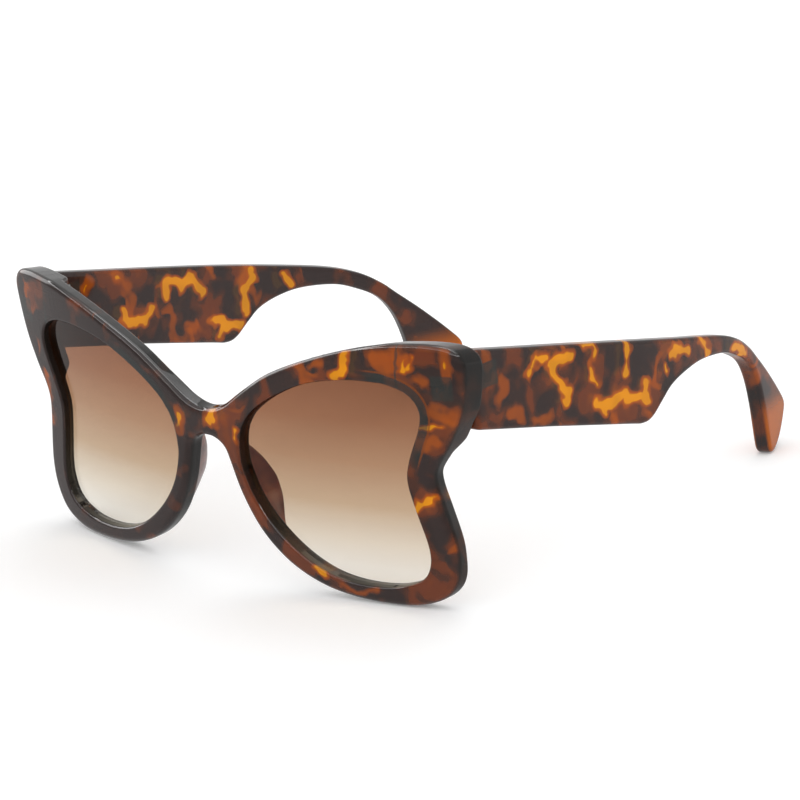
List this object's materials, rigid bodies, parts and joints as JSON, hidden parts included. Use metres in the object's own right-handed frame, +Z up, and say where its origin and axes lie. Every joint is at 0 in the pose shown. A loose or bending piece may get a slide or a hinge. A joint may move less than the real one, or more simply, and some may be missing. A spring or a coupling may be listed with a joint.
{
  "type": "butterfly sunglasses",
  "caption": "Oversized butterfly sunglasses with tortoise frame, brown gradient lenses, nose pads and folding temples on screw hinges.",
  "frame": {"origin": "under the middle of the part, on the surface that the rims and the temple tips stand on", "axes": "+X towards the wearer's left, -Y the way the front looks, +Z up"},
  "size_m": [0.14, 0.1316, 0.0602],
  "materials": {
    "tortoise": "polished tortoise acetate, dark brown with amber patches",
    "lens": "brown gradient lens, darker at the top, clearer at the bottom",
    "pad": "polished plain reddish brown plastic",
    "hinge_metal": "brushed nickel-silver colour",
    "screw_metal": "bright steel"
  },
  "bodies": {
    "front": {"front_frame": "tortoise", "lens_left": "lens", "lens_right": "lens", "nose_pad_left": "pad", "nose_pad_right": "pad", "front_hinge_left": "hinge_metal", "front_hinge_right": "hinge_metal", "hinge_screw_left": "screw_metal", "hinge_screw_right": "screw_metal"},
    "temple_left": {"temple_left": "tortoise", "temple_hinge_left": "hinge_metal"},
    "temple_right": {"temple_right": "tortoise", "temple_hinge_right": "hinge_metal"}
  },
  "joints": [
    {"name": "temple_left_fold", "type": "hinge", "parent": "front", "child": "temple_left", "pos_m": [0.06166, -0.0491, 0.05255], "axis": [0, -0.0218, 0.9998], "range_deg": [0, 77]},
    {"name": "temple_right_fold", "type": "hinge", "parent": "front", "child": "temple_right", "pos_m": [-0.06166, -0.0491, 0.05255], "axis": [0, 0.0218, -0.9998], "range_deg": [0, 86]}
  ]
}
